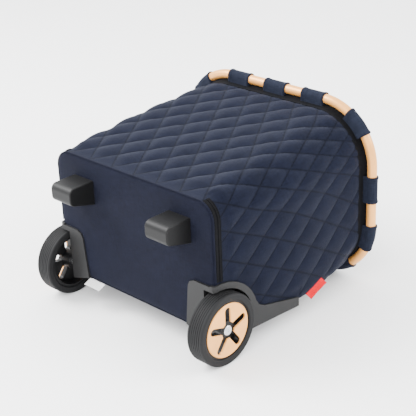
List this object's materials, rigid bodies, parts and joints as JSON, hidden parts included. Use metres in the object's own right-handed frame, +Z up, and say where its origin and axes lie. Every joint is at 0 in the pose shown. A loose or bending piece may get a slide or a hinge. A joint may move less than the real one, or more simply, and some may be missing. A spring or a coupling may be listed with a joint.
{
  "type": "shopping trolley",
  "caption": "Soft tapered shopping bag on two wheels, held open by a tubular mouth frame, with a telescopic pull handle behind, lying on its back",
  "frame": {"origin": "centre of the footprint on the floor, with the trolley lying on its back", "axes": "X from the base and wheels to the mouth and grip, Y across the width, Z up from the floor, towards the front of the trolley"},
  "size_m": [0.475, 0.417, 0.3166],
  "materials": {
    "quilt": "quilted woven navy",
    "base_fabric": "plain woven navy",
    "board": "matt black board",
    "binding": "black edging tape",
    "gold_tube": "satin champagne gold",
    "tube_steel": "plain",
    "loop_fabric": "folded navy fabric",
    "housing_plastic": "fine grained dark grey",
    "screw_steel": "zinc",
    "foot_plastic": "matt black",
    "tyre": "soft dark grey",
    "core_plastic": "black",
    "gold_disc": "satin champagne gold",
    "bush_plastic": "dark grey",
    "axle_steel": "turned steel",
    "handle_plastic": "matt black",
    "tube_aluminium": "satin anodised",
    "grip_rubber": "soft matt black",
    "button_plastic": "smooth dark grey",
    "lining_fabric": "plain black lining",
    "tag_fabric": "woven red tape",
    "label_fabric": "pale satin"
  },
  "bodies": {
    "trolley": {"bag_shell": "quilt", "base_cover": "base_fabric", "base_board": "board", "edge_binding": "binding", "mouth_frame": "gold_tube", "frame_joint_plug": "tube_steel", "frame_loops": "loop_fabric", "wheel_housing_left": "housing_plastic", "wheel_housing_right": "housing_plastic", "housing_screws": "screw_steel", "foot_left": "foot_plastic", "foot_right": "foot_plastic", "foot_screws": "screw_steel", "axle_pin_left": "axle_steel", "axle_pin_right": "axle_steel", "handle_foot": "handle_plastic", "upper_bracket": "handle_plastic", "outer_tube_left": "tube_aluminium", "outer_tube_right": "tube_aluminium", "handle_sleeve": "lining_fabric", "side_tag": "tag_fabric", "care_label": "label_fabric"},
    "wheel_left": {"tyre_left": "tyre", "wheel_core_left": "core_plastic", "hub_disc_left": "gold_disc", "wheel_bush_left": "bush_plastic"},
    "wheel_right": {"tyre_right": "tyre", "wheel_core_right": "core_plastic", "hub_disc_right": "gold_disc", "wheel_bush_right": "bush_plastic"},
    "handle_stage_1": {"mid_tube_left": "tube_aluminium", "mid_tube_right": "tube_aluminium", "mid_yoke": "handle_plastic"},
    "handle_stage_2": {"inner_tube_left": "tube_aluminium", "inner_tube_right": "tube_aluminium", "grip": "grip_rubber"},
    "button": {"release_button": "button_plastic"}
  },
  "joints": [
    {"name": "left_wheel_spin", "type": "hinge", "parent": "trolley", "child": "wheel_left", "pos_m": [-0.1798, 0.1741, 0.0577], "axis": [0, 1, 0], "continuous": true},
    {"name": "right_wheel_spin", "type": "hinge", "parent": "trolley", "child": "wheel_right", "pos_m": [-0.1798, -0.1741, 0.0577], "axis": [0, 1, 0], "continuous": true},
    {"name": "handle_lower_slide", "type": "slide", "parent": "trolley", "child": "handle_stage_1", "axis": [1, 0, 0], "range_m": [0, 0.2675]},
    {"name": "handle_upper_slide", "type": "slide", "parent": "handle_stage_1", "child": "handle_stage_2", "axis": [1, 0, 0], "range_m": [0, 0.2675]},
    {"name": "button_press", "type": "slide", "parent": "handle_stage_2", "child": "button", "axis": [-1, 0, 0], "range_m": [0, 0.004], "stiffness_N_per_m": 400, "springref_m": -0.002}
  ]
}
